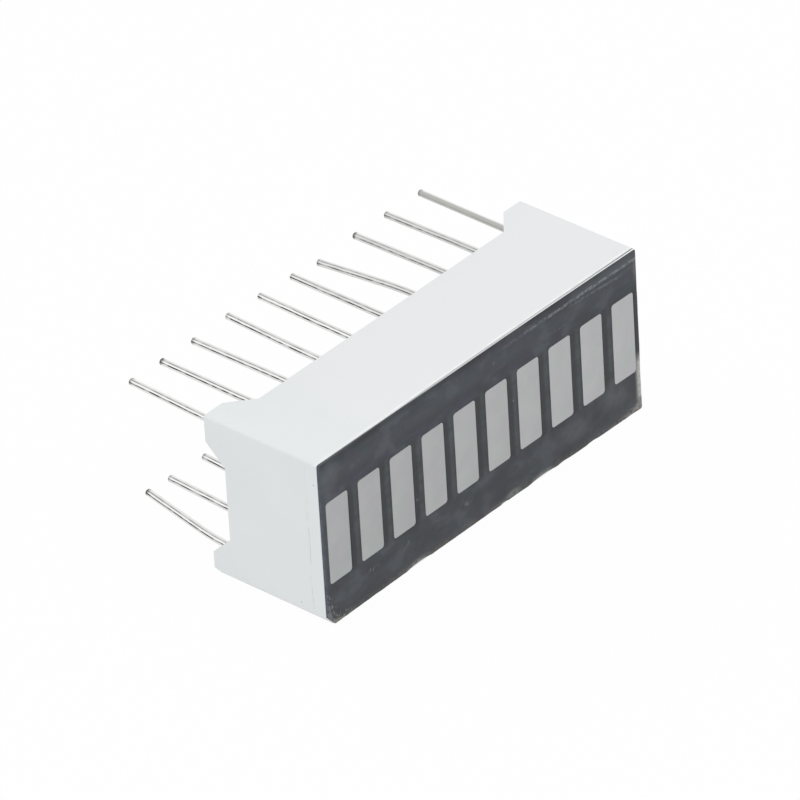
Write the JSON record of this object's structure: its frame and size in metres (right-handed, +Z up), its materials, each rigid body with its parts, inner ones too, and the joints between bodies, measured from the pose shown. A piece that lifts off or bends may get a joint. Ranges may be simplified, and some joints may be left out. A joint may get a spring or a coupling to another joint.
{
  "type": "led bar graph",
  "caption": "Segmented light-bar display in a white through-hole package: a row of grey windows in a dark face, four corner feet and two rows of round wire pins.",
  "frame": {"origin": "middle of the long side wall that the display lies on: half way along its length and half way from the housing's front face to the plane of its feet", "axes": "+X along the row of windows, from pin 1's end; +Y from the display face towards the pins; +Z up, across the windows from the lower pin row to the upper one"},
  "size_m": [0.0252, 0.0141, 0.0101],
  "materials": {
    "housing_plastic": "white moulded plastic, fine matt skin",
    "face_ink": "dark grey satin ink, slightly mottled",
    "window_epoxy": "grey diffusing epoxy, satin",
    "rear_epoxy": "whitish casting epoxy, smooth",
    "board_laminate": "glass-epoxy laminate",
    "board_copper": "gold-plated copper track",
    "die_semiconductor": "semiconductor crystal",
    "bond_metal": "drawn gold wire",
    "pin_metal": "tinned drawn wire"
  },
  "bodies": {
    "root": {"housing": "housing_plastic", "face_mask": "face_ink", "led_die_01": "die_semiconductor", "bond_wire_01": "bond_metal", "segment_01": "window_epoxy", "led_die_02": "die_semiconductor", "bond_wire_02": "bond_metal", "segment_02": "window_epoxy", "led_die_03": "die_semiconductor", "bond_wire_03": "bond_metal", "segment_03": "window_epoxy", "led_die_04": "die_semiconductor", "bond_wire_04": "bond_metal", "segment_04": "window_epoxy", "led_die_05": "die_semiconductor", "bond_wire_05": "bond_metal", "segment_05": "window_epoxy", "led_die_06": "die_semiconductor", "bond_wire_06": "bond_metal", "segment_06": "window_epoxy", "led_die_07": "die_semiconductor", "bond_wire_07": "bond_metal", "segment_07": "window_epoxy", "led_die_08": "die_semiconductor", "bond_wire_08": "bond_metal", "segment_08": "window_epoxy", "led_die_09": "die_semiconductor", "bond_wire_09": "bond_metal", "segment_09": "window_epoxy", "led_die_10": "die_semiconductor", "bond_wire_10": "bond_metal", "segment_10": "window_epoxy", "board_tracks": "board_copper", "circuit_board": "board_laminate", "potting": "rear_epoxy", "pin_01": "pin_metal", "pin_02": "pin_metal", "pin_03": "pin_metal", "pin_04": "pin_metal", "pin_05": "pin_metal", "pin_06": "pin_metal", "pin_07": "pin_metal", "pin_08": "pin_metal", "pin_09": "pin_metal", "pin_10": "pin_metal", "pin_11": "pin_metal", "pin_12": "pin_metal", "pin_13": "pin_metal", "pin_14": "pin_metal", "pin_15": "pin_metal", "pin_16": "pin_metal", "pin_17": "pin_metal", "pin_18": "pin_metal", "pin_19": "pin_metal", "pin_20": "pin_metal"}
  },
  "joints": []
}
